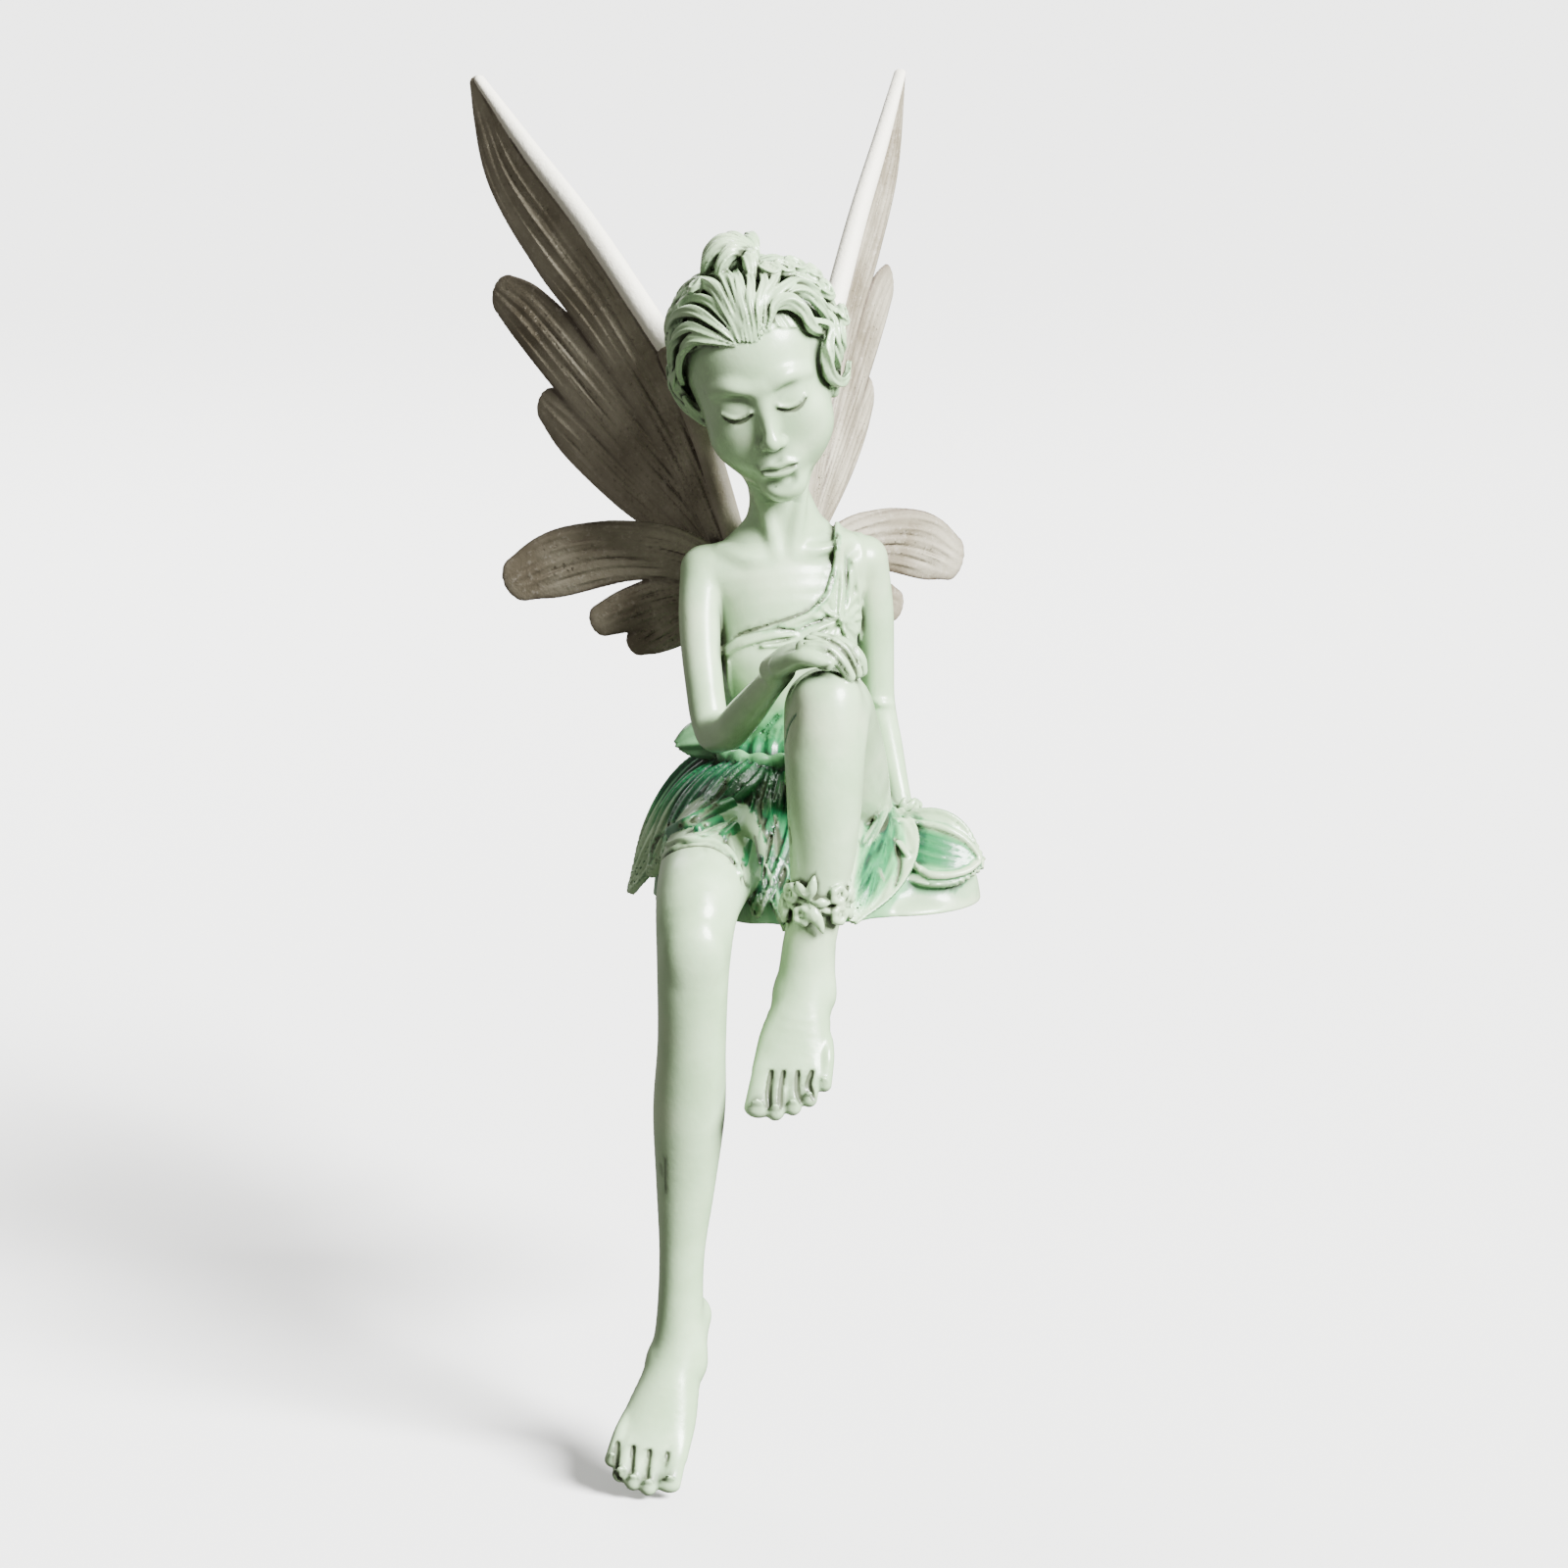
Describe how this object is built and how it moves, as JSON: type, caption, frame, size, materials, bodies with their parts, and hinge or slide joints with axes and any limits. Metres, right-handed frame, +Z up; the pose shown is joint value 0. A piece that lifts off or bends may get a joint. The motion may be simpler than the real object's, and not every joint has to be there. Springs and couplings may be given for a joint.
{
  "type": "fairy statue",
  "caption": "Cast resin fairy seated on a ledge, legs hanging, one knee drawn up, with two feathered wings set into her back.",
  "frame": {"origin": "on the flat underside of the seat, under the hips, 45 mm behind the plane in front of which the calves hang", "axes": "+Z up, she looks along -Y, +X is her left side"},
  "size_m": [0.1088, 0.1632, 0.2693],
  "materials": {
    "figure_resin": "glossy pale mint paint, dark wash in the hollows, emerald green on the skirt",
    "wing_resin": "satin grey-beige paint, brown wash in the grooves, cream leading edges"
  },
  "bodies": {
    "root": {"figure": "figure_resin", "wing_left": "wing_resin", "wing_right": "wing_resin"}
  },
  "joints": []
}
